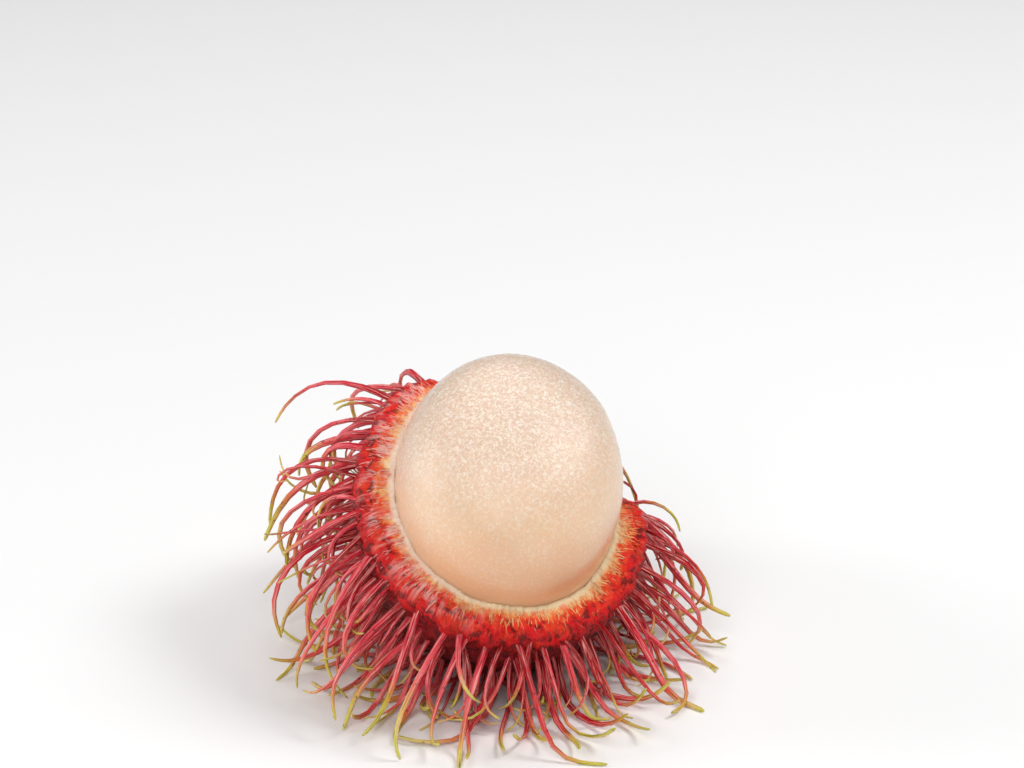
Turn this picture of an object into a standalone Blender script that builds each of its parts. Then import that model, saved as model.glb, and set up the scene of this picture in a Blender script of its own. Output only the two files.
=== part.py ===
"""Half-peeled rambutan, lying on a table: a cup of red rind with its curling spines, and the pale aril that
stands out of the cup. Metres, +Z up, front towards -Y. Run in Blender 4.5."""

import math
import random

import bmesh
import bpy
import numpy as np
from mathutils import Matrix, Vector

# The fruit, measured along its own axis from its middle, which is its widest place
ARIL_ACROSS = 0.0146
ARIL_DEEP = 0.0174
ARIL_TOP = 0.0140
ARIL_BASE = 0.0236
RIND_ACROSS = 0.0190
RIND_DEEP = 0.0214
RIND_BASE = 0.0276
RIM_DROP = 0.0017
RIM_ROUND = 0.0024
RIM_WAVE = 0.00045
RIM_TILT = 0.0016
RIM_TILT_HEADING = math.radians(-34.0)
TORN_LOWER = 0.0080
TORN_HEADING = math.radians(60.0)
TORN_SPAN = math.radians(55.0)
FIT_GAP = 0.00035

# How the fruit lies: its axis leans this far from upright, towards this heading from +X
LEAN = math.radians(27.6)
LEAN_HEADING = math.radians(-73.0)
PRESSED_FLAT = 0.0007

# Spines: rows of roots on the rind, and the size and growth of each spine
SEED = 30
ROOT_SPACING = 0.0033
FIRST_ROW = 0.0026
ROOT_JITTER = 0.22
SPINE_LENGTH = 0.0205
BASE_SPINE_LENGTH = 0.0165
SPINE_LENGTH_SPREAD = 0.16
SPINE_STEPS = 18
SPINE_RADIUS = 0.00053
TIP_RADIUS = 0.00023
ROOT_FLARE = 0.00045
FLARE_SHARE = 0.09
ROOT_DEPTH = 0.0012
SWEEP_BACK = 0.5
DROOP = 1.9
CURL = 2.6
SPINE_CLEAR = 0.00030
SKIN_CLEAR = 0.0010
FLOOR_CLEAR = 0.00008
TRIES = 36
BENDS = 4
SHORTEST_SHARE = 0.45

# Relief of the skin: a low swelling round each root
SWELL = 0.0007
SWELL_REACH = 0.0019

# Facets
CUP_SIDES = 36
OUTER_RINGS = 10
RIM_RINGS = 3
INNER_RINGS = 7
ARIL_SIDES = 48
ARIL_RINGS = 26
SPINE_SIDES = 3
SPINE_KEPT_STEPS = (0, 1, 4, 8, 13, 18)
TRIANGLE_ROUND = 1.35

RIND_RED = (0.52, 0.02, 0.03, 1.0)
ARIL_CREAM = (0.86, 0.70, 0.56, 1.0)

AXIS = Vector((
    math.sin(LEAN) * math.cos(LEAN_HEADING),
    math.sin(LEAN) * math.sin(LEAN_HEADING),
    math.cos(LEAN),
))
SIDEWAYS = (Vector((1.0, 0.0, 0.0)) - AXIS * AXIS.x).normalized()
TURN = Matrix((SIDEWAYS, AXIS.cross(SIDEWAYS), AXIS)).transposed()
RIND_MEAN = (RIND_ACROSS + RIND_DEEP) / 2.0


def lowest_point():
    """The lowest point of the whole outer form once it leans, seen from the fruit's middle."""
    reach = math.hypot(RIND_ACROSS * TURN[2][0], RIND_DEEP * TURN[2][1], RIND_BASE * TURN[2][2])
    squares = (RIND_ACROSS ** 2, RIND_DEEP ** 2, RIND_BASE ** 2)
    return TURN @ Vector([-TURN[2][i] * squares[i] / reach for i in range(3)])


# The fruit's middle, placed so that the flat spot it rests on has its middle at the origin
MIDDLE = -lowest_point() - Vector((0.0, 0.0, PRESSED_FLAT))


def skin_share(height):
    """How much of its full width the bare skin keeps at a height along the fruit's axis."""
    return math.sqrt(max(0.0, 1.0 - (height / RIND_BASE) ** 2))


def rim_height(angle):
    """Height of the rim: a little wavy, tilted, and torn lower at the back on one side."""
    wave = math.sin(3.0 * angle + 0.6) + 0.6 * math.sin(5.0 * angle + 2.1) + 0.4 * math.sin(11.0 * angle)
    off = math.remainder(angle - TORN_HEADING, 2.0 * math.pi) / TORN_SPAN
    lower = RIM_TILT * math.cos(angle - RIM_TILT_HEADING) + TORN_LOWER * math.exp(-off ** 4)
    return -RIM_DROP + RIM_WAVE * wave - lower


def to_world(point):
    return MIDDLE + TURN @ Vector(point)


def skin_point(height, angle):
    """Point and outward normal of the bare skin, in the fruit's own frame."""
    share = skin_share(height)
    point = Vector((RIND_ACROSS * share * math.cos(angle), RIND_DEEP * share * math.sin(angle), height))
    normal = Vector((point.x / RIND_ACROSS ** 2, point.y / RIND_DEEP ** 2, height / RIND_BASE ** 2)).normalized()
    return point, normal


def aril_share(height):
    """How much of its full width the egg of flesh keeps at a height along the fruit's axis."""
    mean, shift = (ARIL_TOP + ARIL_BASE) / 2.0, (ARIL_TOP - ARIL_BASE) / 2.0
    sine = (math.sqrt(max(0.0, mean ** 2 + 4.0 * shift * height)) - mean) / (2.0 * shift)
    return math.sqrt(max(0.0, 1.0 - sine ** 2))


def down_from_rim(progress, angle):
    """Height on the skin at a share of the way from the base's pole, 0, to just under the rim, 1."""
    start = math.asin((RIM_ROUND - rim_height(angle)) / RIND_BASE)
    return -RIND_BASE * math.sin(math.pi / 2 - (math.pi / 2 - start) * progress)


def meridian_heights(spacing, first):
    """Heights down the skin, evenly spaced along its surface from the rim to the base."""
    heights, travelled, wanted = [], 0.0, first
    samples = 4000
    start = math.asin(RIM_DROP / RIND_BASE)
    before = None
    for i in range(samples + 1):
        turn = start + (math.pi / 2 - start) * i / samples
        here = (RIND_MEAN * math.cos(turn), -RIND_BASE * math.sin(turn))
        if before is not None:
            travelled += math.dist(before, here)
        before = here
        if travelled >= wanted:
            heights.append(here[1])
            wanted += spacing
    return heights


def root_places(rng):
    """Height and angle of every spine's root: staggered rows, each a little out of line."""
    places = []
    start = math.asin((RIM_DROP + RIM_ROUND) / RIND_BASE)
    for row, height in enumerate(meridian_heights(ROOT_SPACING, FIRST_ROW)):
        count = max(3, round(2.0 * math.pi * RIND_MEAN * skin_share(height) / ROOT_SPACING))
        slope = ROOT_SPACING * skin_share(height)
        for i in range(count):
            stagger = 0.5 * (row % 2) + rng.uniform(-ROOT_JITTER, ROOT_JITTER)
            shift = slope * rng.uniform(-ROOT_JITTER, ROOT_JITTER)
            angle = 2.0 * math.pi * (i + stagger) / count
            turn = math.asin(min(1.0, -min(height + shift, -RIM_DROP - FIRST_ROW * 0.85) / RIND_BASE))
            places.append((down_from_rim((math.pi / 2 - turn) / (math.pi / 2 - start), angle), angle))
    return places


def spine_radius(share):
    """Radius along a spine: flared at its root, slowly tapering to a blunt tip."""
    taper = SPINE_RADIUS + (TIP_RADIUS - SPINE_RADIUS) * share ** 1.25
    flare = ROOT_FLARE * max(0.0, 1.0 - share / FLARE_SHARE) ** 2
    return taper + flare


def kept_outside(point, radius, clear):
    """The point moved out of the table, and so far out of the fruit's body that it clears the skin."""
    local = TURN.transposed() @ (point - MIDDLE)
    across, deep, long = RIND_ACROSS + clear, RIND_DEEP + clear, RIND_BASE + clear
    depth = math.hypot(local.x / across, local.y / deep, local.z / long)
    if depth < 1.0:
        point = MIDDLE + TURN @ (local / depth)
    point.z = max(point.z, radius + FLOOR_CLEAR)
    return point


def grown(root, normal, length, lean_to, curl):
    """Centreline of one spine: out along the skin's normal, swept back from the rim, drooping and curling."""
    back = (-AXIS - normal * normal.dot(-AXIS)).normalized()
    heading = (normal + SWEEP_BACK * back + lean_to).normalized()
    step = length / SPINE_STEPS
    line = [root]
    for i in range(1, SPINE_STEPS + 1):
        share = i / SPINE_STEPS
        pull = Vector((0.0, 0.0, -DROOP)) + curl * share
        heading = (heading + pull * share * 2.0 / SPINE_STEPS).normalized()
        radius = spine_radius(share)
        for _ in range(BENDS if i > 1 else 0):
            freed = kept_outside(line[-1] + heading * step, radius, radius + SKIN_CLEAR * min(1.0, (i - 1) / 2.0))
            heading = (freed - line[-1]).normalized()
        line.append(line[-1] + heading * step)
    return line


def straightened(line):
    """The line as its few straight pieces give it, at every step."""
    points = []
    for first, last in zip(SPINE_KEPT_STEPS, SPINE_KEPT_STEPS[1:]):
        for i in range(first, last):
            points.append(line[first].lerp(line[last], (i - first) / (last - first)))
    return points + [line[-1]]


def is_off_skin(line, radii):
    """Whether a spine keeps off the table and, past its root, off the fruit."""
    for point, radius in zip(line[3:], radii[3:]):
        freed = kept_outside(point.copy(), radius, radius + SKIN_CLEAR * 0.8)
        if point.z < radius * 0.98 or (freed - point).length > 1e-5:
            return False
    return True


def is_apart(line, radii, placed, placed_radii):
    """Whether a spine keeps off every spine already placed."""
    if not len(placed):
        return True
    mine = np.array([tuple(p) for p in line[1:]])
    gaps = np.linalg.norm(mine[:, None, :] - placed[None, :, :], axis=2)
    needed = np.array(radii[1:])[:, None] + placed_radii[None, :] + SPINE_CLEAR
    return bool((gaps > needed).all())


def spine_lines():
    """Centreline of every spine, in world space, grown one after another so that none cross."""
    rng = random.Random(SEED)
    places = root_places(rng)
    radii = [spine_radius(i / SPINE_STEPS) for i in range(SPINE_STEPS + 1)]
    placed = np.empty((0, 3))
    placed_radii = np.empty(0)
    lines = []
    for height, angle in reversed(places):
        point, normal = skin_point(height, angle)
        root, normal = to_world(point), TURN @ normal
        if root.z < spine_radius(0.3) * 2.0:
            continue
        for attempt in range(TRIES):
            length = SPINE_LENGTH + (BASE_SPINE_LENGTH - SPINE_LENGTH) * min(1.0, -height / RIND_BASE)
            length *= 1.0 + rng.uniform(-SPINE_LENGTH_SPREAD, SPINE_LENGTH_SPREAD)
            length *= 1.0 - (1.0 - SHORTEST_SHARE) * attempt / TRIES
            lean_to = Vector([rng.gauss(0.0, 0.22) for _ in range(3)])
            curl = Vector([rng.gauss(0.0, CURL * 0.5) for _ in range(3)])
            line = grown(root, normal, length, lean_to, curl)
            pieces = straightened(line)
            free = is_off_skin(line, radii) and is_off_skin(pieces, radii)
            if free and is_apart(pieces, radii, placed, placed_radii):
                lines.append(line)
                placed = np.vstack([placed, [tuple(p) for p in pieces[1:]]])
                placed_radii = np.concatenate([placed_radii, radii[1:]])
                break
    return lines


def material(name, colour, roughness):
    made = bpy.data.materials.new(name)
    made.use_nodes = True
    shader = made.node_tree.nodes["Principled BSDF"]
    shader.inputs["Base Color"].default_value = colour
    shader.inputs["Roughness"].default_value = roughness
    shader.inputs["Metallic"].default_value = 0.0
    return made


def new_object(name, mesh, finish):
    made = bpy.data.objects.new(name, mesh)
    made.data.materials.append(finish)
    bpy.context.scene.collection.objects.link(made)
    return made


def lathe(name, rings, sides, finish):
    """A closed solid from rings of points: a pole, rings of equal length, a pole."""
    bm = bmesh.new()
    made = [[bm.verts.new(p) for p in ring] for ring in rings]
    for upper, lower in zip(made, made[1:]):
        for i in range(sides):
            j = (i + 1) % sides
            corners = [upper[i % len(upper)], upper[j % len(upper)], lower[j % len(lower)], lower[i % len(lower)]]
            unique = list(dict.fromkeys(corners))
            bm.faces.new(unique)
    bmesh.ops.recalc_face_normals(bm, faces=bm.faces)
    bmesh.ops.triangulate(bm, faces=bm.faces)
    mesh = bpy.data.meshes.new(name)
    bm.to_mesh(mesh)
    bm.free()
    return new_object(name, mesh, finish)


def swell(point, roots):
    """Height of the skin's relief at a point: the swelling round the nearest root."""
    nearest = min((point - root).length for root in roots)
    return SWELL * math.exp(-((nearest / SWELL_REACH) ** 2))


def cup_rings(roots):
    """Rings of the rind's cup, from the pole outside its base, over the rim, to the pole of its inside."""
    local_roots = [TURN.transposed() @ (root - MIDDLE) for root in roots]
    rings = [[to_world((0.0, 0.0, -RIND_BASE - swell(Vector((0.0, 0.0, -RIND_BASE)), local_roots)))]]
    angles = [2.0 * math.pi * i / CUP_SIDES for i in range(CUP_SIDES)]
    for k in range(1, OUTER_RINGS + 1):
        stagger = math.pi / CUP_SIDES * (k % 2) * (1.0 - (k / OUTER_RINGS) ** 4)
        ring = []
        for angle in angles:
            point, normal = skin_point(down_from_rim(k / OUTER_RINGS, angle + stagger), angle + stagger)
            ring.append(to_world(point + normal * swell(point, local_roots)))
        rings.append(ring)
    for k in range(1, RIM_RINGS + 1):
        turn = math.pi / 2 * k / RIM_RINGS
        ring = []
        for angle in angles:
            top = rim_height(angle)
            edge, _ = skin_point(top - RIM_ROUND, angle)
            place = seat_point(top, angle).lerp(edge, math.cos(turn))
            place.z = top - RIM_ROUND * (1.0 - math.sin(turn))
            ring.append(to_world(place))
        rings.append(ring)
    for k in range(1, INNER_RINGS + 1):
        ring = []
        for angle in angles:
            high = math.asin(rim_height(angle) / ARIL_BASE)
            turn = high - (high + math.pi / 2) * k / (INNER_RINGS + 1)
            ring.append(to_world(seat_point(ARIL_BASE * math.sin(turn), angle)))
        rings.append(ring)
    rings.append([to_world((0.0, 0.0, -ARIL_BASE - FIT_GAP))])
    return rings


def seat_point(height, angle):
    """Point of the cup's inside, a fit gap away from the aril."""
    share = aril_share(height)
    across, deep = ARIL_ACROSS * share + FIT_GAP, ARIL_DEEP * share + FIT_GAP
    return Vector((across * math.cos(angle), deep * math.sin(angle), height - FIT_GAP * 0.5))


def make_aril(finish):
    rings = [[to_world((0.0, 0.0, -ARIL_BASE))]]
    for k in range(1, ARIL_RINGS):
        turn = math.pi * k / ARIL_RINGS - math.pi / 2
        end = ARIL_TOP if turn > 0.0 else ARIL_BASE
        height = end * math.sin(turn)
        across, deep = ARIL_ACROSS * aril_share(height), ARIL_DEEP * aril_share(height)
        ring = []
        for i in range(ARIL_SIDES):
            angle = 2.0 * math.pi * i / ARIL_SIDES
            ring.append(to_world((across * math.cos(angle), deep * math.sin(angle), height)))
        rings.append(ring)
    rings.append([to_world((0.0, 0.0, ARIL_TOP))])
    made = lathe("aril", rings, ARIL_SIDES, finish)
    made.data.shade_smooth()
    return made


def spine_solid(number, line, finish):
    """One closed spine: a three-sided tube along its line, its root sunk in the rind."""
    inward = (line[0] - line[1]).normalized() * ROOT_DEPTH
    kept = [line[0] + inward] + [line[i] for i in SPINE_KEPT_STEPS[1:]]
    shares = [0.0] + [i / SPINE_STEPS for i in SPINE_KEPT_STEPS[1:]]
    side = None
    bm = bmesh.new()
    rings = []
    for k, (point, share) in enumerate(zip(kept, shares)):
        along = (kept[min(k + 1, len(kept) - 1)] - kept[max(k - 1, 0)]).normalized()
        side = along.orthogonal() if side is None else side - along * side.dot(along)
        side.normalize()
        across = along.cross(side)
        radius = spine_radius(share) * TRIANGLE_ROUND
        ring = []
        for i in range(SPINE_SIDES):
            angle = 2.0 * math.pi * i / SPINE_SIDES
            place = point + (side * math.cos(angle) + across * math.sin(angle)) * radius
            if k:
                place.z = max(place.z, 0.0)
            ring.append(bm.verts.new(place))
        rings.append(ring)
    bm.faces.new(rings[0])
    bm.faces.new(rings[-1])
    for lower, upper in zip(rings, rings[1:]):
        for i in range(SPINE_SIDES):
            j = (i + 1) % SPINE_SIDES
            bm.faces.new([lower[i], lower[j], upper[j], upper[i]])
    bmesh.ops.recalc_face_normals(bm, faces=bm.faces)
    mesh = bpy.data.meshes.new(f"spine_{number}")
    bm.to_mesh(mesh)
    bm.free()
    return new_object(f"spine_{number}", mesh, finish)


def press_flat(cup):
    """The skin's underside pressed flat where the fruit stands on the table."""
    for vertex in cup.data.vertices:
        vertex.co.z = max(vertex.co.z, 0.0)


def fuse_spines(cup, lines, finish):
    group = bpy.data.collections.new("spines")
    bpy.context.scene.collection.children.link(group)
    for number, line in enumerate(lines):
        spine = spine_solid(number, line, finish)
        bpy.context.scene.collection.objects.unlink(spine)
        group.objects.link(spine)
    join = cup.modifiers.new("join_spines", "BOOLEAN")
    join.operation = "UNION"
    join.operand_type = "COLLECTION"
    join.collection = group
    join.solver = "MANIFOLD"
    bpy.context.view_layer.objects.active = cup
    bpy.ops.object.modifier_apply(modifier=join.name)
    for spine in list(group.objects):
        bpy.data.objects.remove(spine)
    bpy.data.collections.remove(group)


def main():
    for old in list(bpy.data.objects):
        bpy.data.objects.remove(old)
    rind_finish = material("rind_red", RIND_RED, 0.45)
    aril_finish = material("aril_cream", ARIL_CREAM, 0.2)
    lines = spine_lines()
    cup = lathe("rind", cup_rings([line[0] for line in lines]), CUP_SIDES, rind_finish)
    press_flat(cup)
    fuse_spines(cup, lines, rind_finish)
    make_aril(aril_finish)
    print(len(lines), "spines")


main()
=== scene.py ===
"""A half-peeled rambutan on a pale table in soft studio light."""

import math
import random

import bpy
import numpy as np
from mathutils import Matrix, Vector, kdtree, noise


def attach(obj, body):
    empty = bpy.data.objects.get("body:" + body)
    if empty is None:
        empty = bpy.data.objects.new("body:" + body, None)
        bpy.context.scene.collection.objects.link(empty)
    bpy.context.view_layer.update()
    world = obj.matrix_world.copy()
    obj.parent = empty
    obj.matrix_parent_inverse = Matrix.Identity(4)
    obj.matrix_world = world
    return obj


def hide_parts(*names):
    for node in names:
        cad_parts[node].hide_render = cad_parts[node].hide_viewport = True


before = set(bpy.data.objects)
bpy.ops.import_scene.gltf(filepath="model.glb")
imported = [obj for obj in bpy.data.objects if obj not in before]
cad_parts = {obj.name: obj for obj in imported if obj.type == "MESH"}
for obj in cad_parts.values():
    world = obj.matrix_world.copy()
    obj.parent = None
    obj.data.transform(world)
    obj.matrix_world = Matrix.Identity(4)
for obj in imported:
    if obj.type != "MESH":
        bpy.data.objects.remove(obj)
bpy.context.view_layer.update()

# The fruit, measured along its own axis from its middle, which is its widest place
ARIL_ACROSS = 0.0146
ARIL_DEEP = 0.0174
ARIL_TOP = 0.0140
ARIL_BASE = 0.0236
RIND_ACROSS = 0.0190
RIND_DEEP = 0.0214
RIND_BASE = 0.0276
RIM_DROP = 0.0017
RIM_ROUND = 0.0024
RIM_WAVE = 0.00045
RIM_TILT = 0.0016
RIM_TILT_HEADING = math.radians(-34.0)
TORN_LOWER = 0.0080
TORN_HEADING = math.radians(60.0)
TORN_SPAN = math.radians(55.0)

# How the fruit lies: its axis leans this far from upright, towards this heading from +X
LEAN = math.radians(27.6)
LEAN_HEADING = math.radians(-73.0)
PRESSED_FLAT = 0.0007

# Spines: rows of roots on the rind, and the size and growth of each spine
SEED = 30
ROOT_SPACING = 0.0033
FIRST_ROW = 0.0026
ROOT_JITTER = 0.22
SPINE_LENGTH = 0.0205
BASE_SPINE_LENGTH = 0.0165
SPINE_LENGTH_SPREAD = 0.16
SPINE_STEPS = 18
SPINE_RADIUS = 0.00053
TIP_RADIUS = 0.00023
ROOT_FLARE = 0.00045
FLARE_SHARE = 0.09
ROOT_DEPTH = 0.0012
SPINE_LEAN = 0.22
SWEEP_BACK = 0.5
DROOP = 1.9
CURL = 2.6
SPINE_CLEAR = 0.00030
SKIN_CLEAR = 0.0010
FLOOR_CLEAR = 0.00008
TRIES = 36
BENDS = 4
SHORTEST_SHARE = 0.45
SPINE_KEPT_STEPS = (0, 1, 4, 8, 13, 18)

# Fine hairs between the spines
HAIR_SEED = 5
HAIR_COUNT = 420
HAIR_LENGTH = 0.0135
HAIR_LENGTH_SPREAD = (0.6, 1.25)
HAIR_THICKNESS = 0.55
HAIR_ROWS = 0.0004
HAIR_FIRST_ROW = FIRST_ROW * 0.8
HAIR_LEAN = 0.3
HAIR_CLEAR = 0.00006
HAIR_TRIES = 8

# Spines and hairs as seen: their rings from the sunk root to the tip, eased bends, slim roots
SPINE_RINGS = (-1.0, 0.0, 0.05, 0.14, 0.26, 0.39, 0.52, 0.64, 0.75, 0.84, 0.91, 0.97, 1.0)
SPINE_SIDES = 5
SEEN_THICKNESS = 0.9
SPINE_SEED = 21
THIN_SEED = 22
STRAND_SEED = 23
THICKNESS_SPREAD = (0.85, 1.12)
FLATTENED = (0.12, 0.3)
TWIST = 1.6
EASE_ROUNDS = 6
ROOT_SLIMMER = 0.25
SUNK_SLIMMER = 0.75
TABLE_CLEAR = 0.00002
GRAIN_DOWN = 0.8
GRAIN_APART = 37.0

# The curl of their last part: where it starts, and the earlier step whose heading tells its sense
HOOK_SEED = 31
HOOK_BEFORE = 7
HOOK_START = 12
HOOK_LEAST = 0.35
HOOK_MOST = 1.5
HOOK_ASIDE = 0.5

# The skin: how finely it is modelled
SKIN_STEPS = 480
OUTER_RINGS = 122
RIM_RINGS = 32
INNER_RINGS = 9
LIP_GAP = 0.00008

# Fibres on the torn rim: where they start round its edge, their size, and how they spread
FRAY_SEED = 8
FRAY_COUNT = 2200
FRAY_SHORTEST = 0.0006
FRAY_LONGEST = 0.0015
FRAY_STEPS = 5
FRAY_THICKNESS = 0.14
FRAY_DEPTH = 0.0003
FRAY_SIDES = 4
FRAY_RINGS = (-1.0, 0.0, 0.3, 0.6, 0.85, 1.0)
FRAY_SPAN = (0.06, 0.9)
FRAY_LIFT = (0.0, 0.6)
FRAY_SPREAD = 0.4
FRAY_WANDER = 0.16
FRAY_OUTWARD = 0.2
FRAY_DOWNWARD = 0.12
RIM_ARC = 5.2

# Relief of the skin: a low swelling round each root, layers of lumps, fibres and a raised lip. Distances
# from the lip are in millimetres. Each layer of lumps has a height, a size and a seed, and each layer of
# unevenness a height and a fineness.
FLESHY_FROM = 1.2
FLESHY_OVER = 2.0
TORN_TO = 9.0
TORN_OVER = 4.0
SWELL = 0.0007
SWELL_REACH = 0.0019
LUMPS = ((0.00034, 0.0012, 3.0), (0.00020, 0.0006, 9.0))
LUMPS_SUNK = 0.00018
LUMP_STEEPNESS = 1.6
UNEVEN_SKIN = (0.00034, 420.0)
UNEVEN_RIM = (0.00022, 1000.0)
LIP_RAISED = 0.0003
LIP_WIDTH = 0.8
LIP_WOBBLE = 500.0
FIBRES_ROUND = 36.0
FIBRES_DOWN = 0.3
FIBRE_RELIEF = 0.0003

# The flesh: how finely it is modelled, and its unevenness above the part that the cup hides
ARIL_SEGMENTS = 380
ARIL_RINGS = 240
ARIL_HIDDEN = -0.008
ARIL_FADE = 0.003
UNEVEN_ARIL = ((0.00014, 110.0), (0.00005, 420.0), (0.00002, 1500.0))

# The fruit's left, where the rim's fibres are pink and white: from the first place along X to the second
LEFT_SIDE = (0.002, -0.011)

AXIS = Vector((
    math.sin(LEAN) * math.cos(LEAN_HEADING),
    math.sin(LEAN) * math.sin(LEAN_HEADING),
    math.cos(LEAN),
))
SIDEWAYS = (Vector((1.0, 0.0, 0.0)) - AXIS * AXIS.x).normalized()
TURN = Matrix((SIDEWAYS, AXIS.cross(SIDEWAYS), AXIS)).transposed()
RIND_MEAN = (RIND_ACROSS + RIND_DEEP) / 2.0
ARIL_MEAN = (ARIL_TOP + ARIL_BASE) / 2.0
ARIL_SHIFT = (ARIL_TOP - ARIL_BASE) / 2.0


def lowest_point():
    """The lowest point of the whole outer form once it leans, seen from the fruit's middle."""
    reach = math.hypot(RIND_ACROSS * TURN[2][0], RIND_DEEP * TURN[2][1], RIND_BASE * TURN[2][2])
    squares = (RIND_ACROSS ** 2, RIND_DEEP ** 2, RIND_BASE ** 2)
    return TURN @ Vector([-TURN[2][i] * squares[i] / reach for i in range(3)])


MIDDLE = -lowest_point() - Vector((0.0, 0.0, PRESSED_FLAT))

# The camera: the photograph's viewing angle, with a long lens
LOOK_DOWN = math.radians(25.0)
LENS = 120.0
SENSOR = 36.0
PIXELS_PER_METRE = 7800.0
FRAME_SIZE = (1024, 768)
MIDDLE_PIXEL = (508.6, 485.6)


# How the spines grow

def skin_share(height):
    """How much of its full width the bare skin keeps at a height along the fruit's axis."""
    return math.sqrt(max(0.0, 1.0 - (height / RIND_BASE) ** 2))


def to_world(point):
    return MIDDLE + TURN @ Vector(point)


def skin_point(height, angle):
    """Point and outward normal of the bare skin, in the fruit's own frame."""
    share = skin_share(height)
    point = Vector((RIND_ACROSS * share * math.cos(angle), RIND_DEEP * share * math.sin(angle), height))
    normal = Vector((point.x / RIND_ACROSS ** 2, point.y / RIND_DEEP ** 2, height / RIND_BASE ** 2))
    return point, normal.normalized()


def rim_height(angle):
    """Height of the rim: a little wavy, tilted, and torn lower at the back on one side."""
    wave = np.sin(3.0 * angle + 0.6) + 0.6 * np.sin(5.0 * angle + 2.1) + 0.4 * np.sin(11.0 * angle)
    off = ((angle - TORN_HEADING + math.pi) % math.tau - math.pi) / TORN_SPAN
    lower = RIM_TILT * np.cos(angle - RIM_TILT_HEADING) + TORN_LOWER * np.exp(-off ** 4)
    return -RIM_DROP + RIM_WAVE * wave - lower


def down_from_rim(progress, angle):
    """Height on the skin at a share of the way from the base's pole, 0, to just under the rim, 1."""
    start = math.asin((RIM_ROUND - rim_height(angle)) / RIND_BASE)
    return -RIND_BASE * math.sin(math.pi / 2 - (math.pi / 2 - start) * progress)


def meridian_heights(spacing, first):
    """Heights down the skin, evenly spaced along its surface from the rim to the base."""
    heights, travelled, wanted = [], 0.0, first
    samples = 4000
    start = math.asin(RIM_DROP / RIND_BASE)
    before = None
    for i in range(samples + 1):
        turn = start + (math.pi / 2 - start) * i / samples
        here = (RIND_MEAN * math.cos(turn), -RIND_BASE * math.sin(turn))
        if before is not None:
            travelled += math.dist(before, here)
        before = here
        if travelled >= wanted:
            heights.append(here[1])
            wanted += spacing
    return heights


def root_places(rng):
    """Height and angle of every spine's root: staggered rows, each a little out of line."""
    places = []
    start = math.asin((RIM_DROP + RIM_ROUND) / RIND_BASE)
    for row, height in enumerate(meridian_heights(ROOT_SPACING, FIRST_ROW)):
        count = max(3, round(2.0 * math.pi * RIND_MEAN * skin_share(height) / ROOT_SPACING))
        slope = ROOT_SPACING * skin_share(height)
        for i in range(count):
            stagger = 0.5 * (row % 2) + rng.uniform(-ROOT_JITTER, ROOT_JITTER)
            shift = slope * rng.uniform(-ROOT_JITTER, ROOT_JITTER)
            angle = 2.0 * math.pi * (i + stagger) / count
            turn = math.asin(min(1.0, -min(height + shift, -RIM_DROP - FIRST_ROW * 0.85) / RIND_BASE))
            places.append((down_from_rim((math.pi / 2 - turn) / (math.pi / 2 - start), angle), angle))
    return places


def spine_radius(share):
    """Radius along a spine: flared at its root, slowly tapering to a blunt tip."""
    taper = SPINE_RADIUS + (TIP_RADIUS - SPINE_RADIUS) * share ** 1.25
    flare = ROOT_FLARE * max(0.0, 1.0 - share / FLARE_SHARE) ** 2
    return taper + flare


def kept_outside(point, radius, clear):
    """The point moved out of the table, and so far out of the fruit's body that it clears the skin."""
    local = TURN.transposed() @ (point - MIDDLE)
    across, deep, long = RIND_ACROSS + clear, RIND_DEEP + clear, RIND_BASE + clear
    depth = math.hypot(local.x / across, local.y / deep, local.z / long)
    if depth < 1.0:
        point = MIDDLE + TURN @ (local / depth)
    point.z = max(point.z, radius + FLOOR_CLEAR)
    return point


def grown(root, normal, length, lean_to, curl):
    """Centreline of one spine: out along the skin's normal, swept back, drooping and curling."""
    back = (-AXIS - normal * normal.dot(-AXIS)).normalized()
    heading = (normal + SWEEP_BACK * back + lean_to).normalized()
    step = length / SPINE_STEPS
    line = [root]
    for i in range(1, SPINE_STEPS + 1):
        share = i / SPINE_STEPS
        pull = Vector((0.0, 0.0, -DROOP)) + curl * share
        heading = (heading + pull * share * 2.0 / SPINE_STEPS).normalized()
        radius = spine_radius(share)
        clear = radius + SKIN_CLEAR * min(1.0, (i - 1) / 2.0)
        for _ in range(BENDS if i > 1 else 0):
            freed = kept_outside(line[-1] + heading * step, radius, clear)
            heading = (freed - line[-1]).normalized()
        line.append(line[-1] + heading * step)
    return line


def straightened(line):
    """The line as its few straight pieces give it, at every step."""
    points = []
    for first, last in zip(SPINE_KEPT_STEPS, SPINE_KEPT_STEPS[1:]):
        for i in range(first, last):
            points.append(line[first].lerp(line[last], (i - first) / (last - first)))
    return points + [line[-1]]


def is_off_skin(line, radii):
    """Whether a spine keeps off the table and, past its root, off the fruit."""
    for point, radius in zip(line[3:], radii[3:]):
        freed = kept_outside(point.copy(), radius, radius + SKIN_CLEAR * 0.8)
        if point.z < radius * 0.98 or (freed - point).length > 1e-5:
            return False
    return True


def is_apart(line, radii, placed, placed_radii, clear):
    """Whether a spine keeps off every spine already placed."""
    if not len(placed):
        return True
    mine = np.array([tuple(p) for p in line[1:]])
    gaps = np.linalg.norm(mine[:, None, :] - placed[None, :, :], axis=2)
    needed = np.array(radii[1:])[:, None] + placed_radii[None, :] + clear
    return bool((gaps > needed).all())


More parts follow.
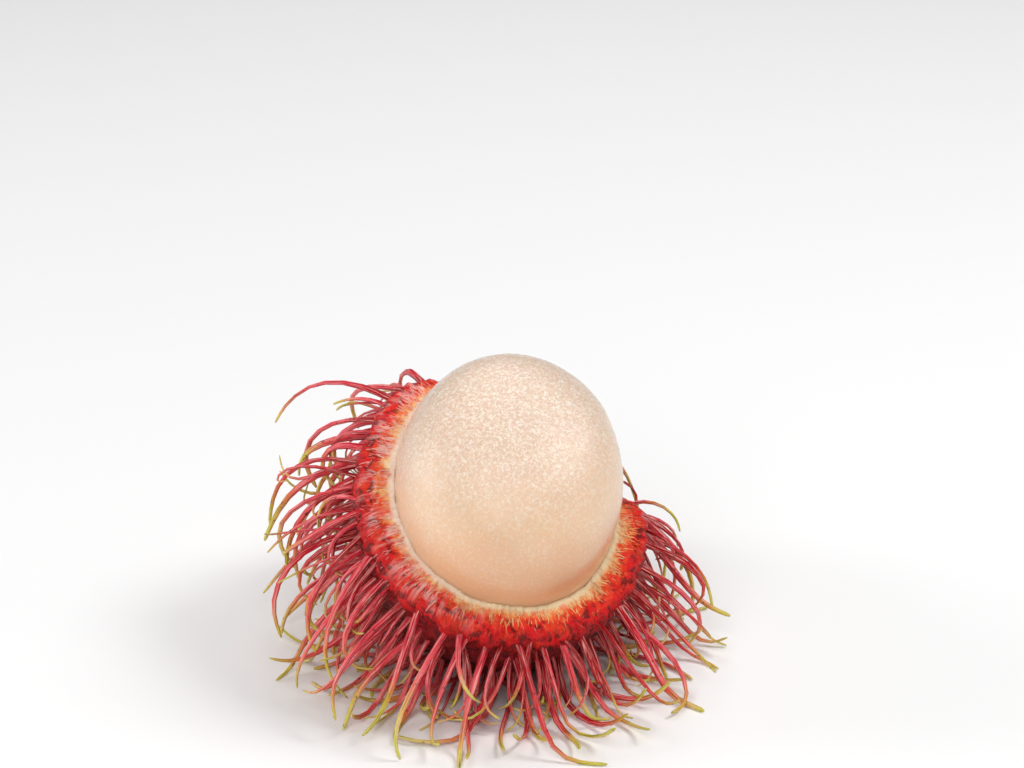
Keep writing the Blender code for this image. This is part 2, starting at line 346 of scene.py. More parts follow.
def spine_lines():
    """Centreline of every spine, in world space, grown one after another so that none cross."""
    rng = random.Random(SEED)
    places = root_places(rng)
    radii = [spine_radius(i / SPINE_STEPS) for i in range(SPINE_STEPS + 1)]
    placed = np.empty((0, 3))
    placed_radii = np.empty(0)
    lines = []
    for height, angle in reversed(places):
        point, normal = skin_point(height, angle)
        root, normal = to_world(point), TURN @ normal
        if root.z < spine_radius(0.3) * 2.0:
            continue
        for attempt in range(TRIES):
            length = SPINE_LENGTH + (BASE_SPINE_LENGTH - SPINE_LENGTH) * min(1.0, -height / RIND_BASE)
            length *= 1.0 + rng.uniform(-SPINE_LENGTH_SPREAD, SPINE_LENGTH_SPREAD)
            length *= 1.0 - (1.0 - SHORTEST_SHARE) * attempt / TRIES
            lean_to = Vector([rng.gauss(0.0, SPINE_LEAN) for _ in range(3)])
            curl = Vector([rng.gauss(0.0, CURL * 0.5) for _ in range(3)])
            line = grown(root, normal, length, lean_to, curl)
            pieces = straightened(line)
            free = is_off_skin(line, radii) and is_off_skin(pieces, radii)
            if free and is_apart(pieces, radii, placed, placed_radii, SPINE_CLEAR):
                lines.append(line)
                placed = np.vstack([placed, [tuple(p) for p in pieces[1:]]])
                placed_radii = np.concatenate([placed_radii, radii[1:]])
                break
    return lines


def hair_lines(lines):
    """Centrelines of the finer hairs that fill in between the spines."""
    rng = random.Random(HAIR_SEED)
    radii = [spine_radius(i / SPINE_STEPS) for i in range(SPINE_STEPS + 1)]
    placed = np.array([tuple(p) for line in lines for p in line[1:]])
    placed_radii = np.array(radii[1:] * len(lines)) * 0.8
    thin = [radius * HAIR_THICKNESS for radius in radii]
    heights = meridian_heights(HAIR_ROWS, HAIR_FIRST_ROW)
    shares = [skin_share(height) for height in heights]
    start = math.asin((RIM_DROP + RIM_ROUND) / RIND_BASE)
    hairs = []
    for _ in range(HAIR_COUNT):
        turn = math.asin(-rng.choices(heights, shares)[0] / RIND_BASE)
        angle = rng.uniform(0.0, 2.0 * math.pi)
        height = down_from_rim((math.pi / 2 - turn) / (math.pi / 2 - start), angle)
        point, normal = skin_point(height, angle)
        root, normal = to_world(point), TURN @ normal
        if root.z < SPINE_RADIUS * 2.0:
            continue
        for _ in range(HAIR_TRIES):
            length = HAIR_LENGTH * rng.uniform(*HAIR_LENGTH_SPREAD)
            lean_to = Vector([rng.gauss(0.0, HAIR_LEAN) for _ in range(3)])
            curl = Vector([rng.gauss(0.0, CURL) for _ in range(3)])
            line = grown(root, normal, length, lean_to, curl)
            if is_off_skin(line, radii) and is_apart(line, thin, placed, placed_radii, HAIR_CLEAR):
                hairs.append(line)
                placed = np.vstack([placed, [tuple(p) for p in line[1:]]])
                placed_radii = np.concatenate([placed_radii, thin[1:]])
                break
    return hairs


def hooked(lines):
    """The lines with their last part curled further round, the way it already curves."""
    rng = random.Random(HOOK_SEED)
    curled = []
    for line in lines:
        points = list(line)
        before, after = (line[i] - line[i - 2] for i in (HOOK_BEFORE, HOOK_START))
        aside = Vector([rng.gauss(0.0, HOOK_ASIDE) for _ in range(3)])
        axis = (before.cross(after).normalized() + aside).normalized()
        bend = rng.uniform(HOOK_LEAST, HOOK_MOST)
        for i in range(HOOK_START, SPINE_STEPS):
            share = (i - HOOK_START + 1) / (SPINE_STEPS - HOOK_START)
            step = Matrix.Rotation(bend * share, 3, axis) @ (line[i + 1] - line[i])
            points[i + 1] = points[i] + step
            points[i + 1].z = max(points[i + 1].z, TIP_RADIUS + FLOOR_CLEAR)
        curled.append(points)
    return curled


# Modelling by hand

def nothing_selected():
    bpy.ops.object.select_all(action="DESELECT")


def straight_spine(sides, shares):
    """One straight spine, a unit thick and a unit long, drawn up ring by ring from a disc."""
    nothing_selected()
    start = (0.0, 0.0, shares[0])
    bpy.ops.mesh.primitive_circle_add(vertices=sides, radius=1.0, fill_type="NGON", location=start)
    spine = bpy.context.object
    bpy.ops.object.transform_apply(location=True, rotation=False, scale=False)
    bpy.ops.object.mode_set(mode="EDIT")
    bpy.ops.mesh.select_all(action="SELECT")
    for low, high in zip(shares, shares[1:]):
        bpy.ops.mesh.extrude_region_move(TRANSFORM_OT_translate={"value": (0.0, 0.0, high - low)})
    bpy.ops.transform.resize(value=(0.5, 0.5, 1.0), center_override=(0.0, 0.0, shares[-1]))
    bpy.ops.mesh.select_all(action="SELECT")
    bpy.ops.mesh.normals_make_consistent(inside=False)
    bpy.ops.object.mode_set(mode="OBJECT")
    return spine


def along_frames(line):
    """Tangent and side vectors down a line, carried along it with no twist."""
    points = np.array([tuple(p) for p in line])
    for _ in range(EASE_ROUNDS):
        points[2:-1] = (points[1:-2] + points[2:-1] * 2.0 + points[3:]) / 4.0
    tangents = np.gradient(points, axis=0)
    tangents /= np.linalg.norm(tangents, axis=1)[:, None]
    side = np.cross(tangents[0], (0.3, 0.5, 0.81))
    sides = []
    for tangent in tangents:
        side = side - tangent * side.dot(tangent)
        side = side / np.linalg.norm(side)
        sides.append(side)
    sides = np.array(sides)
    return points, sides, np.cross(tangents, sides)


def bent_copies(name, pattern, lines, thickness, seed, depth=ROOT_DEPTH):
    """Copies of the straight spine, each bent onto its own line, as one piece with its attributes."""
    rng = random.Random(seed)
    verts = np.array([tuple(v.co) for v in pattern.data.vertices])
    faces = [tuple(f.vertices) for f in pattern.data.polygons]
    share = np.clip(verts[:, 2], 0.0, 1.0)
    sunk = np.clip(-verts[:, 2], 0.0, None)
    all_verts, all_faces, along, tone, grain = [], [], [], [], []
    for number, line in enumerate(lines):
        points, sides, ups = along_frames(line)
        place = share * (len(line) - 1)
        low = np.minimum(place.astype(int), len(line) - 2)
        mix = (place - low)[:, None]
        middle = points[low] * (1.0 - mix) + points[low + 1] * mix
        side = sides[low] * (1.0 - mix) + sides[low + 1] * mix
        up = ups[low] * (1.0 - mix) + ups[low + 1] * mix
        turn = rng.uniform(0.0, math.tau) + share * rng.uniform(-TWIST, TWIST)
        own_tone = rng.random()
        flat = rng.uniform(*FLATTENED)
        radius = np.array([spine_radius(s) for s in share]) * thickness * rng.uniform(*THICKNESS_SPREAD)
        at_root = np.clip(1.0 - share / FLARE_SHARE, 0.0, 1.0)
        radius *= (1.0 - ROOT_SLIMMER * at_root) * (1.0 - SUNK_SLIMMER * sunk)
        x = verts[:, 0] * (1.0 + flat)
        y = verts[:, 1] * (1.0 - flat)
        across = x * np.cos(turn) - y * np.sin(turn)
        upward = x * np.sin(turn) + y * np.cos(turn)
        inward = points[0] - points[1]
        inward = inward / np.linalg.norm(inward)
        placed = middle + (side * across[:, None] + up * upward[:, None]) * radius[:, None]
        placed += inward * (sunk * depth)[:, None]
        placed[:, 2] = np.maximum(placed[:, 2], TABLE_CLEAR)
        base = number * len(verts)
        all_verts.append(placed)
        all_faces += [tuple(base + v for v in face) for face in faces]
        along.append(share)
        tone.append(np.full(len(verts), own_tone))
        down = share * GRAIN_DOWN + own_tone * GRAIN_APART
        grain.append(np.stack([verts[:, 0] * 0.5, verts[:, 1] * 0.5, down], axis=1))
    mesh = bpy.data.meshes.new(name)
    mesh.from_pydata(np.vstack(all_verts).tolist(), [], all_faces)
    mesh.shade_smooth()
    piece = bpy.data.objects.new(name, mesh)
    bpy.context.scene.collection.objects.link(piece)
    keep_value(piece, "along", np.concatenate(along))
    keep_value(piece, "tone", np.concatenate(tone))
    keep_vector(piece, "grain", np.vstack(grain))
    return piece


def aril_share(height):
    """How much of its full width the egg of flesh keeps at heights along the fruit's axis."""
    root = np.sqrt(np.maximum(0.0, ARIL_MEAN ** 2 + 4.0 * ARIL_SHIFT * height))
    sine = (root - ARIL_MEAN) / (2.0 * ARIL_SHIFT)
    return np.sqrt(np.maximum(0.0, 1.0 - sine ** 2))


def cup_places(part, angle, top):
    """Points of the cup in the fruit's own frame.

    part runs from 0 at the pole under the base to 1 at the rim's outer edge, to 2 at its lip,
    to 3 at the pole of the cup's inside.
    """
    outer, rim, inner = (np.clip(part - first, 0.0, 1.0) for first in (0.0, 1.0, 2.0))
    start = np.arcsin((RIM_ROUND - top) / RIND_BASE)
    height = -RIND_BASE * np.sin(math.pi / 2 - (math.pi / 2 - start) * outer)
    share = np.sqrt(np.maximum(0.0, 1.0 - (height / RIND_BASE) ** 2))
    across, deep = RIND_ACROSS * share, RIND_DEEP * share

    wide = np.cos(math.pi / 2 * rim) ** 0.9
    lip_share = aril_share(top)
    lip_across, lip_deep = ARIL_ACROSS * lip_share + LIP_GAP, ARIL_DEEP * lip_share + LIP_GAP
    across = np.where(part > 1.0, lip_across * (1.0 - wide) + across * wide, across)
    deep = np.where(part > 1.0, lip_deep * (1.0 - wide) + deep * wide, deep)
    height = np.where(part > 1.0, top - RIM_ROUND * (1.0 - np.sin(math.pi / 2 * rim)), height)

    high = np.arcsin(top / ARIL_BASE)
    down = ARIL_BASE * np.sin(high - (high + math.pi / 2) * inner)
    inner_share = aril_share(down)
    across = np.where(part > 2.0, ARIL_ACROSS * inner_share + LIP_GAP, across)
    deep = np.where(part > 2.0, ARIL_DEEP * inner_share + LIP_GAP, deep)
    height = np.where(part > 2.0, down, height)
    return np.stack([across * np.cos(angle), deep * np.sin(angle), height], axis=1)


def cup_parts():
    """Where along the cup's section each of its rings lies, closer together near the rim."""
    outer = 1.0 - (1.0 - np.arange(OUTER_RINGS + 1) / OUTER_RINGS) ** 1.35
    rim = 1.0 + np.arange(1, RIM_RINGS + 1) / RIM_RINGS
    inner = 2.0 + (np.arange(1, INNER_RINGS + 1) / INNER_RINGS) ** 1.4
    return np.concatenate([outer, rim, inner])


def turned_on_axis(name, outline, steps):
    """A closed shape turned round the Z axis from its outline, as on a lathe."""
    nothing_selected()
    bpy.ops.mesh.primitive_plane_add(size=0.001, location=(0.0, 0.0, 0.0))
    piece = bpy.context.object
    piece.name = piece.data.name = name
    bpy.ops.object.mode_set(mode="EDIT")
    bpy.ops.mesh.select_all(action="SELECT")
    bpy.ops.mesh.merge(type="CENTER")
    bpy.ops.transform.translate(value=(outline[0][0], 0.0, outline[0][1]))
    for (x0, z0), (x1, z1) in zip(outline, outline[1:]):
        bpy.ops.mesh.extrude_region_move(TRANSFORM_OT_translate={"value": (x1 - x0, 0.0, z1 - z0)})
    bpy.ops.mesh.select_all(action="SELECT")
    bpy.ops.mesh.spin(steps=steps, angle=math.tau, center=(0.0, 0.0, 0.0), axis=(0.0, 0.0, 1.0))
    bpy.ops.mesh.select_all(action="SELECT")
    bpy.ops.mesh.remove_doubles(threshold=0.000001)
    bpy.ops.mesh.normals_make_consistent(inside=False)
    bpy.ops.object.mode_set(mode="OBJECT")
    return piece


def bumps(point, size, seed):
    """Rounded bumps of about this size, from 0 between them to 1 on top."""
    distances, _ = noise.voronoi(point / size + Vector((seed, 0.0, 0.0)))
    return max(0.0, 1.0 - distances[0] ** 2 * LUMP_STEEPNESS)


def vertex_places(piece):
    flat = np.empty(len(piece.data.vertices) * 3)
    piece.data.vertices.foreach_get("co", flat)
    return flat.reshape(-1, 3)


def vertex_normals(piece):
    flat = np.empty(len(piece.data.vertices) * 3)
    piece.data.vertex_normals.foreach_get("vector", flat)
    return flat.reshape(-1, 3)


def move_vertices(piece, places):
    piece.data.vertices.foreach_set("co", places.ravel())
    piece.data.update()


def to_table(local):
    """Points of the fruit's own frame as they lie on the table."""
    return local @ np.array(TURN).T + np.array(MIDDLE)


def keep_value(piece, name, values):
    piece.data.attributes.new(name, "FLOAT", "POINT").data.foreach_set("value", values)


def keep_vector(piece, name, values):
    piece.data.attributes.new(name, "FLOAT_VECTOR", "POINT").data.foreach_set("vector", values.ravel())


def make_skin(lines):
    """The cup of rind: its fleshy skin with a swelling under each spine, and its torn, frayed rim."""
    parts = cup_parts()
    flat_rim = np.full(len(parts), -RIM_DROP)
    section = cup_places(parts, np.zeros(len(parts)), flat_rim)
    section[0, 0] = section[-1, 0] = 0.0
    skin = turned_on_axis("rind_skin", [(x, z) for x, _, z in section.tolist()], SKIN_STEPS)
    spots = vertex_places(skin)
    angle = np.arctan2(spots[:, 1], spots[:, 0])
    radius = np.hypot(spots[:, 0], spots[:, 1])
    gaps = np.abs(radius[:, None] - section[None, :, 0]) + np.abs(spots[:, 2, None] - section[None, :, 2])
    part = parts[gaps.argmin(axis=1)]
    lengths = np.concatenate([[0.0], np.cumsum(np.linalg.norm(np.diff(section, axis=0), axis=1))])
    lip = OUTER_RINGS + RIM_RINGS
    from_lip = (lengths[lip] - lengths)[gaps.argmin(axis=1)] * 1000.0

    world = to_table(cup_places(part, angle, rim_height(angle)))
    move_vertices(skin, world)
    normals = vertex_normals(skin)
    round_rim = (np.cos(angle) * FIBRES_ROUND, np.sin(angle) * FIBRES_ROUND)
    fibres = np.stack([*round_rim, from_lip * FIBRES_DOWN], axis=1)
    tree = kdtree.KDTree(len(lines))
    for number, line in enumerate(lines):
        tree.insert(line[0], number)
    tree.balance()
    raised = np.zeros(len(world))
    for i in np.flatnonzero(from_lip > -0.5):
        point = Vector(world[i])
        off = from_lip[i]
        _, _, gap = tree.find(point)
        fleshy = min(1.0, max(0.0, (off - FLESHY_FROM) / FLESHY_OVER))
        torn = min(1.0, max(0.0, off + 0.3)) * min(1.0, max(0.0, (TORN_TO - off) / TORN_OVER))
        height = SWELL * math.exp(-((gap / SWELL_REACH) ** 2)) * fleshy
        height += (sum(high * bumps(point, size, seed) for high, size, seed in LUMPS) - LUMPS_SUNK) * fleshy
        height += UNEVEN_SKIN[0] * noise.noise(point * UNEVEN_SKIN[1]) * min(1.0, fleshy + 0.3)
        height += FIBRE_RELIEF * noise.noise(Vector(fibres[i])) * torn
        height += UNEVEN_RIM[0] * noise.noise(point * UNEVEN_RIM[1]) * torn
        height += LIP_RAISED * math.exp(-((off / LIP_WIDTH) ** 2)) * (0.5 + noise.noise(point * LIP_WOBBLE))
        raised[i] = height
    world += normals * raised[:, None]
    world[:, 2] = np.maximum(world[:, 2], 0.0)
    move_vertices(skin, world)
    skin.data.shade_smooth()
    keep_value(skin, "from_lip", from_lip)
    keep_vector(skin, "fibres", fibres)
    return skin


def frayed_lines():
    """Short fibres lying outwards on the torn rim, and how many millimetres off the lip each starts."""
    rng = random.Random(FRAY_SEED)
    angles = np.array([rng.uniform(0.0, math.tau) for _ in range(FRAY_COUNT)])
    shares = np.array([rng.uniform(*FRAY_SPAN) for _ in range(FRAY_COUNT)])
    tops = rim_height(angles)
    lips, edges = (cup_places(np.full(FRAY_COUNT, part), angles, tops) for part in (2.0, 1.0))
    hearts = to_table(np.column_stack([lips[:, :2], edges[:, 2]]))
    roots = to_table(cup_places(2.0 - shares, angles, tops))
    onward = to_table(cup_places(1.9 - shares, angles, tops)) - roots
    lines = []
    for root, heart, ahead in zip(roots, hearts, onward):
        upward, outward = Vector(root - heart).normalized(), Vector(ahead).normalized()
        heading = outward + upward * rng.uniform(*FRAY_LIFT)
        heading += Vector([rng.gauss(0.0, FRAY_SPREAD) for _ in range(3)])
        step = rng.uniform(FRAY_SHORTEST, FRAY_LONGEST) / FRAY_STEPS
        line = [Vector(root)]
        for _ in range(FRAY_STEPS):
            line.append(line[-1] + heading.normalized() * step)
            wander = Vector([rng.gauss(0.0, FRAY_WANDER) for _ in range(3)])
            heading += outward * FRAY_OUTWARD - upward * FRAY_DOWNWARD + wander
        lines.append(line)
    return lines, shares * RIM_ARC


def make_aril():
    """The egg of flesh: moist, a little uneven, finely pebbled."""
    nothing_selected()
    bpy.ops.mesh.primitive_uv_sphere_add(segments=ARIL_SEGMENTS, ring_count=ARIL_RINGS, radius=1.0,
                                         location=(0.0, 0.0, 0.0))
    aril = bpy.context.object
    aril.name = aril.data.name = "aril_flesh"
    ball = vertex_places(aril)
    height = ball[:, 2] * ARIL_MEAN + ball[:, 2] ** 2 * ARIL_SHIFT
    world = to_table(np.stack([ball[:, 0] * ARIL_ACROSS, ball[:, 1] * ARIL_DEEP, height], axis=1))
    move_vertices(aril, world)
    normals = vertex_normals(aril)
    raised = np.zeros(len(world))
    for i in np.flatnonzero(height > ARIL_HIDDEN):
        point = Vector(world[i])
        fade = min(1.0, (height[i] - ARIL_HIDDEN) / ARIL_FADE)
        raised[i] = sum(high * noise.noise(point * fine) for high, fine in UNEVEN_ARIL) * fade
    move_vertices(aril, world + normals * raised[:, None])
    aril.data.shade_smooth()
    return aril


# Finishes

def srgb(red, green, blue):
    """A colour of 0 to 255 a channel as Blender's linear colour."""
    def linear(value):
        value /= 255.0
        return value / 12.92 if value <= 0.04045 else ((value + 0.055) / 1.055) ** 2.4
    return (linear(red), linear(green), linear(blue), 1.0)


class Finish:
    """A material whose nodes are added one by one."""

    def __init__(self, name):
        self.material = bpy.data.materials.new(name)
        self.material.use_nodes = True
        self.nodes = self.material.node_tree.nodes
        self.links = self.material.node_tree.links
        self.shader = self.nodes["Principled BSDF"]

    def put(self, socket, value):
        if isinstance(value, bpy.types.NodeSocket):
            self.links.new(value, socket)
        else:
            socket.default_value = value

    def add(self, kind, **values):
        made = self.nodes.new(kind)
        for key, value in values.items():
            if hasattr(made, key):
                setattr(made, key, value)
            else:
                self.put(made.inputs[key.replace("_", " ")], value)
        return made

    def attribute(self, name):
        return self.add("ShaderNodeAttribute", attribute_name=name)

    def spots(self):
        return self.add("ShaderNodeTexCoord").outputs["Object"]

    def left(self):
        """From 0 on the fruit's right to 1 on its left."""
        side = self.add("ShaderNodeSeparateXYZ", Vector=self.spots()).outputs["X"]
        return self.between(side, *LEFT_SIDE)

    def noise(self, vector, scale, detail=2.0, roughness=0.5, distortion=0.0):
        made = self.add("ShaderNodeTexNoise", Vector=vector, Scale=scale, Detail=detail,
                        Roughness=roughness, Distortion=distortion)
        return made.outputs["Fac"]

    def centred(self, value, size):
        """A value of 0 to 1 as a shift about zero, this wide from end to end."""
        return self.times(self.math("SUBTRACT", value, 0.5), size)

    def math(self, operation, first, second=0.0, clamp=False):
        made = self.add("ShaderNodeMath", operation=operation, use_clamp=clamp)
        self.put(made.inputs[0], first)
        self.put(made.inputs[1], second)
        return made.outputs[0]

    def times(self, first, second):
        return self.math("MULTIPLY", first, second)

    def plus(self, first, second):
        return self.math("ADD", first, second)

    def between(self, value, low, high, to_low=0.0, to_high=1.0):
        made = self.add("ShaderNodeMapRange", interpolation_type="SMOOTHSTEP")
        for name, given in zip(("Value", "From Min", "From Max", "To Min", "To Max"),
                               (value, low, high, to_low, to_high)):
            self.put(made.inputs[name], given)
        return made.outputs["Result"]

    def ramp(self, value, stops):
        made = self.add("ShaderNodeValToRGB")
        elements = made.color_ramp.elements
        while len(elements) < len(stops):
            elements.new(0.5)
        for element, (place, colour) in zip(elements, stops):
            element.position = place
            element.color = colour
        self.put(made.inputs["Fac"], value)
        return made.outputs["Color"]

    def mix(self, share, first, second):
        """Two colours mixed: only the first at a share of 0, only the second at 1."""
        made = self.add("ShaderNodeMix", data_type="RGBA")
        self.put(made.inputs[0], share)
        self.put(made.inputs[6], first)
        self.put(made.inputs[7], second)
        return made.outputs[2]

    def bump(self, height, strength, distance):
        made = self.add("ShaderNodeBump", Height=height, Strength=strength, Distance=distance)
        self.put(self.shader.inputs["Normal"], made.outputs["Normal"])
        self.put(self.shader.inputs["Coat Normal"], made.outputs["Normal"])

    def set(self, **values):
        for key, value in values.items():
            self.put(self.shader.inputs[key.replace("_", " ")], value)


def rind_colour_and_painted_shade(finish, depth):
    """The rind's colour by millimetres from the lip: cream, orange, scarlet, then deep crimson darkening to
    near-black towards the base, partly the skin's own red and partly painted shade under the fruit and
    among the spines.
    """
    return finish.ramp(finish.math("DIVIDE", depth, 20.0), [
        (0.0, srgb(255, 220, 172)),
        (0.04, srgb(255, 200, 138)),
        (0.075, srgb(250, 154, 88)),
        (0.11, srgb(244, 84, 36)),
        (0.15, srgb(234, 20, 14)),
        (0.24, srgb(212, 6, 14)),
        # From here on the ramp darkens towards the base: painted shade under the fruit and among the spine
        # roots, over the skin's own deep red.
        (0.36, srgb(150, 4, 14)),
        (1.0, srgb(74, 2, 10)),
    ])


def skin_finish():
    """Torn cream rim with pale fibres, going over orange to scarlet, then skin darkening to deep crimson,
    partly its own red and partly painted shade, with dark pits of painted crevice shade.
    """
    finish = Finish("rind_skin")
    spots = finish.spots()
    from_lip = finish.attribute("from_lip").outputs["Fac"]
    fibres = finish.noise(finish.attribute("fibres").outputs["Vector"], 1.3, 3.0, 0.65, 0.4)
    left = finish.left()
    ragged = finish.centred(finish.noise(spots, 1500.0, 3.0, 0.7), 3.0)
    lumpy = finish.centred(finish.noise(spots, 420.0, 3.0, 0.55), 5.0)
    depth = finish.plus(from_lip, finish.plus(ragged, lumpy))
    depth = finish.plus(depth, finish.centred(fibres, -2.0))
    colour = rind_colour_and_painted_shade(finish, depth)
    # Dark pits on the shoulder: painted shade of crevices, placed by noise, not by the relief.
    painted_crevice_shade = finish.between(finish.noise(spots, 800.0, 3.0, 0.6, 0.6), 0.48, 0.6)
    painted_crevice_shade = finish.times(finish.between(from_lip, 1.5, 3.0), painted_crevice_shade)
    colour = finish.mix(finish.times(painted_crevice_shade, 0.85), colour, srgb(92, 0, 4))
    warm = finish.between(finish.noise(spots, 500.0, 2.0, 0.6), 0.5, 0.62)
    warm = finish.times(finish.between(from_lip, 6.0, 3.0), warm)
    colour = finish.mix(finish.times(warm, 0.6), colour, srgb(246, 70, 30))
    band = finish.times(finish.between(from_lip, 0.3, 1.2), finish.between(from_lip, 5.2, 2.4))
    patches = finish.between(finish.noise(spots, 300.0, 2.0, 0.5), 0.42, 0.56)
    strands = finish.times(finish.between(fibres, 0.4, 0.6), finish.times(band, left))
    strands = finish.times(strands, patches)
    colour = finish.mix(finish.times(strands, 0.8), colour, srgb(255, 206, 198))
    edge = finish.plus(from_lip, finish.centred(finish.noise(spots, 600.0), 0.7))
    lip = finish.between(edge, 0.4, 1.1, 1.0, 0.0)
    colour = finish.mix(lip, colour, finish.mix(left, srgb(255, 230, 188), srgb(255, 226, 206)))
    finish.set(Base_Color=colour, Roughness=0.42, Subsurface_Weight=0.12,
               Subsurface_Radius=(0.0012, 0.0004, 0.0003), Subsurface_Scale=1.0,
               Specular_IOR_Level=0.2, Coat_Weight=0.2, Coat_Roughness=0.10)
    grain = finish.noise(spots, 2300.0, 4.0, 0.65)
    finish.bump(finish.plus(grain, fibres), 0.8, 0.0004)
    return finish.material


def fray_finish():
    """Translucent fibres of the torn rim: cream to orange, pink and white on the fruit's left."""
    finish = Finish("rim_fray")
    left = finish.left()
    tone = finish.attribute("tone").outputs["Fac"]
    colour = rind_colour_and_painted_shade(finish, finish.times(finish.attribute("from_lip").outputs["Fac"], 0.8))
    blush = finish.mix(tone, srgb(236, 60, 70), srgb(254, 204, 202))
    colour = finish.mix(finish.times(left, 0.7), colour, blush)
    colour = finish.mix(finish.between(tone, 0.72, 0.95, 0.0, 0.3), colour, srgb(255, 226, 190))
    finish.set(Base_Color=colour, Roughness=0.35, Subsurface_Weight=0.3,
               Subsurface_Radius=(0.0008, 0.0004, 0.0003), Subsurface_Scale=1.0,
               Specular_IOR_Level=0.25)
    return finish.material


def spine_finish(name, pale_and_painted_highlight):
    """Crimson at the root, then rose with pale streaks that are partly painted highlight, yellow-green
    towards the tip, with brown specks; the fruit's left is painted lighter and its right darker, as painted
    light and shade.
    """
    finish = Finish(name)
    spots = finish.spots()
    along = finish.attribute("along").outputs["Fac"]
    tone = finish.attribute("tone").outputs["Fac"]
    grain = finish.attribute("grain").outputs["Vector"]
    streaks = finish.noise(grain, 5.5, 3.0, 0.6)
    wobble = finish.centred(finish.noise(spots, 330.0, 2.0, 0.5), 0.2)
    place = finish.plus(along, finish.plus(finish.centred(tone, 0.36), wobble))
    deep = finish.ramp(place, [
        (0.0, srgb(160, 2, 8)),
        (0.16, srgb(166, 3, 14)),
        (0.45, srgb(210, 14, 34)),
        (0.62, srgb(226, 62, 52)),
        (0.73, srgb(218, 140, 56)),
        (0.84, srgb(212, 198, 62)),
        (1.0, srgb(210, 212, 78)),
    ])
    rose = finish.ramp(place, [
        (0.0, srgb(176, 8, 20)),
        (0.16, srgb(230, 40, 62)),
        (0.45, srgb(254, 98, 110)),
        (0.62, srgb(250, 118, 104)),
        (0.73, srgb(230, 166, 84)),
        (0.84, srgb(230, 216, 92)),
        (1.0, srgb(226, 224, 106)),
    ])
    # Spines on the fruit's left are turned lighter rose and those on its right deeper crimson: painted
    # light and shade by side, on top of each spine's own random kind.
    side = finish.add("ShaderNodeSeparateXYZ", Vector=spots).outputs["X"]
    each = finish.add("ShaderNodeCombineXYZ", X=tone).outputs["Vector"]
    own_kind = finish.times(finish.between(finish.noise(each, 9.0), 0.4, 0.6), 0.7)
    kind = finish.math("ADD", own_kind, finish.between(side, 0.014, -0.014, -0.15, 0.4), clamp=True)
    colour = finish.mix(kind, deep, rose)
    # Pale streaks along each spine: partly its own paler ridges, partly painted highlight.
    light = finish.between(streaks, 0.48, 0.65)
    colour = finish.mix(finish.times(light, pale_and_painted_highlight), colour, srgb(255, 188, 182))
    dark = finish.between(streaks, 0.46, 0.32)
    colour = finish.mix(finish.times(dark, 0.75), colour, srgb(92, 2, 10))
    specks = finish.between(finish.noise(spots, 1500.0, 2.0, 0.5), 0.64, 0.72)
    colour = finish.mix(finish.times(specks, 0.65), colour, srgb(84, 36, 18))
    finish.set(Base_Color=colour, Roughness=0.4, Subsurface_Weight=0.08,
               Subsurface_Radius=(0.0008, 0.0003, 0.0002), Subsurface_Scale=1.0,
               Specular_IOR_Level=0.1, Coat_Weight=0.15, Coat_Roughness=0.12)
    finish.bump(streaks, 0.6, 0.00025)
    return finish.material


def aril_finish():
    """Moist translucent flesh, cream above and peach below, its sheen broken up by fine pebbles, with pale
    and dark specks of painted sparkle on its upper part.
    """
    finish = Finish("aril_flesh")
    spots = finish.spots()
    height = finish.add("ShaderNodeSeparateXYZ", Vector=spots).outputs["Z"]
    cloudy = finish.plus(height, finish.centred(finish.noise(spots, 90.0, 3.0, 0.5), 0.010))
    colour = finish.ramp(finish.between(cloudy, 0.008, 0.040), [
        (0.0, srgb(220, 146, 96)),
        (0.3, srgb(234, 180, 136)),
        (0.65, srgb(242, 206, 170)),
        (1.0, srgb(236, 208, 184)),
    ])
    pebbles = finish.noise(spots, 2500.0, 2.0, 0.6, 1.0)
    fine = finish.noise(spots, 6000.0, 2.0, 0.5)
    # Pale and dark specks of painted sparkle over the upper flesh, strongest at the top; the same area
    # carries the pebbled bump.
    grain_and_painted_sparkle_area = finish.between(cloudy, 0.015, 0.033, 0.12, 1.0)
    painted_sparkle_top = finish.between(cloudy, 0.025, 0.041, 0.0, 0.34)
    painted_sparkle_share = finish.plus(painted_sparkle_top, finish.times(grain_and_painted_sparkle_area, 0.36))
    pale_and_painted_highlight = finish.times(finish.between(pebbles, 0.5, 0.62), painted_sparkle_share)
    colour = finish.mix(pale_and_painted_highlight, colour, srgb(255, 246, 236))
    painted_sparkle_dark = finish.times(finish.between(pebbles, 0.5, 0.4), painted_sparkle_top)
    colour = finish.mix(painted_sparkle_dark, colour, srgb(208, 166, 142))
    finish.set(Base_Color=colour, Roughness=0.42, Subsurface_Weight=0.5,
               Subsurface_Radius=(0.004, 0.0022, 0.0013), Subsurface_Scale=1.0, IOR=1.42,
               Coat_Weight=0.75, Coat_Roughness=0.10)
    relief = finish.plus(pebbles, finish.times(fine, 0.3))
    finish.bump(finish.times(relief, grain_and_painted_sparkle_area), 0.42, 0.0003)
    return finish.material


def dressed(piece, material, node):
    piece.data.materials.clear()
    piece.data.materials.append(material)
    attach(piece, "root")
    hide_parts(node)


# The studio

def make_floor():
    nothing_selected()
    bpy.ops.mesh.primitive_plane_add(size=6.0, location=(0.0, 0.0, 0.0))
    floor = bpy.context.object
    floor.name = floor.data.name = "floor"
    finish = Finish("floor_white")
    finish.set(Base_Color=(0.95, 0.95, 0.95, 1.0), Roughness=0.7)
    floor.data.materials.append(finish.material)


def add_light(name, place, aim, size, power, colour=(1.0, 1.0, 1.0)):
    light = bpy.data.lights.new(name, "AREA")
    light.shape = "DISK"
    light.size = size
    light.energy = power
    light.color = colour
    lamp = bpy.data.objects.new(name, light)
    bpy.context.scene.collection.objects.link(lamp)
    lamp.location = place
    lamp.rotation_euler = (Vector(aim) - Vector(place)).to_track_quat("-Z", "Y").to_euler()


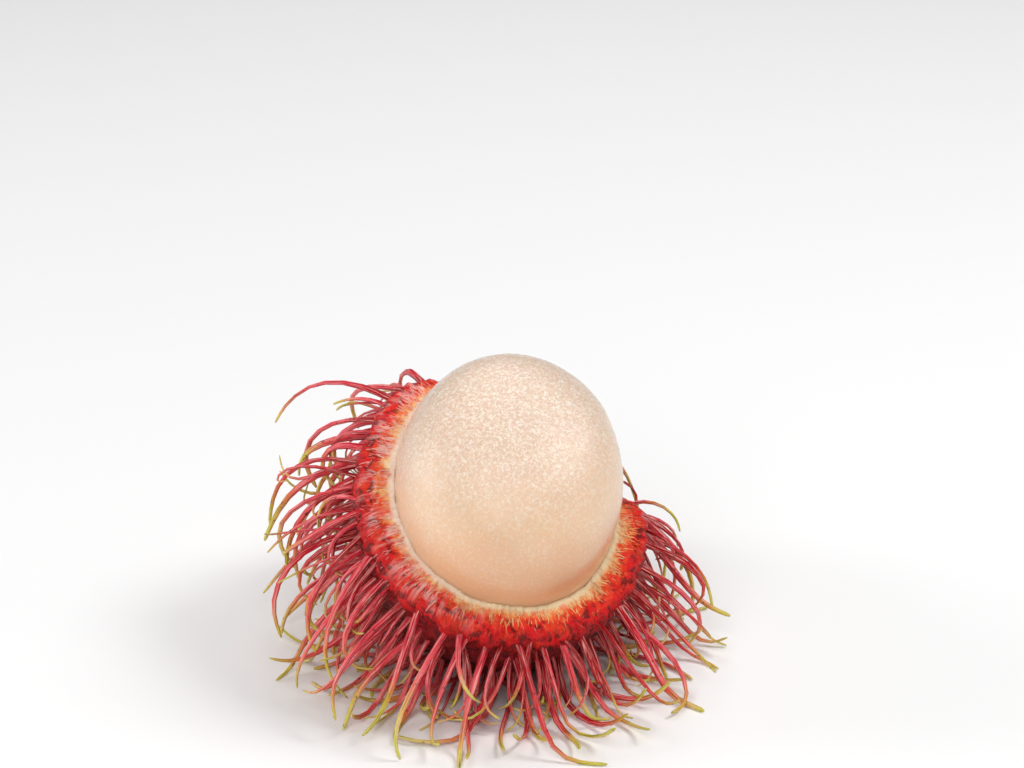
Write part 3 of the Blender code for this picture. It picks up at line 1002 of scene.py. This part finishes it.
def make_studio():
    scene = bpy.context.scene
    world = bpy.data.worlds.new("studio")
    scene.world = world
    world.use_nodes = True
    world.node_tree.nodes["Background"].inputs["Color"].default_value = (1.0, 1.0, 1.0, 1.0)
    world.node_tree.nodes["Background"].inputs["Strength"].default_value = 0.05
    scene.view_settings.view_transform = "Standard"
    add_light("left", (-0.52, 0.06, 0.20), MIDDLE, 0.22, 1.05)
    add_light("right", (0.38, 0.03, 0.44), MIDDLE, 0.22, 1.55)
    add_light("top_back", (0.0, 0.31, 0.47), MIDDLE, 0.44, 0.9)
    add_light("front_soft", (-0.10, -0.45, 0.48), MIDDLE, 0.56, 2.65)


def make_camera():
    lens = bpy.data.cameras.new("camera")
    lens.lens = LENS
    lens.sensor_width = SENSOR
    camera = bpy.data.objects.new("camera", lens)
    bpy.context.scene.collection.objects.link(camera)
    backward = Vector((0.0, -math.cos(LOOK_DOWN), math.sin(LOOK_DOWN)))
    upward = Vector((0.0, math.sin(LOOK_DOWN), math.cos(LOOK_DOWN)))
    right = Vector((1.0, 0.0, 0.0))
    aim = MIDDLE + right * ((FRAME_SIZE[0] / 2 - MIDDLE_PIXEL[0]) / PIXELS_PER_METRE)
    aim += upward * ((MIDDLE_PIXEL[1] - FRAME_SIZE[1] / 2) / PIXELS_PER_METRE)
    distance = FRAME_SIZE[0] / PIXELS_PER_METRE * LENS / SENSOR
    camera.location = aim + backward * distance
    camera.rotation_euler = (math.pi / 2 - LOOK_DOWN, 0.0, 0.0)
    bpy.context.scene.camera = camera


def main():
    make_camera()
    make_studio()
    make_floor()
    lines = spine_lines()
    hairs = hair_lines(lines)
    skin = make_skin(lines)
    dressed(skin, skin_finish(), "rind")
    pattern = straight_spine(SPINE_SIDES, SPINE_RINGS)
    spines = bent_copies("rind_spines", pattern, hooked(lines), SEEN_THICKNESS, SPINE_SEED)
    dressed(spines, spine_finish("spine_rose", 0.7), "rind")
    fine = bent_copies("rind_hairs", pattern, hooked(hairs), HAIR_THICKNESS, THIN_SEED)
    dressed(fine, spine_finish("hair_rose", 0.8), "rind")
    bpy.data.objects.remove(pattern)
    thread = straight_spine(FRAY_SIDES, FRAY_RINGS)
    strands, from_lip = frayed_lines()
    fray = bent_copies("rim_fray", thread, strands, FRAY_THICKNESS, STRAND_SEED, FRAY_DEPTH)
    keep_value(fray, "from_lip", np.repeat(from_lip, len(thread.data.vertices)))
    dressed(fray, fray_finish(), "rind")
    bpy.data.objects.remove(thread)
    dressed(make_aril(), aril_finish(), "aril")


main()
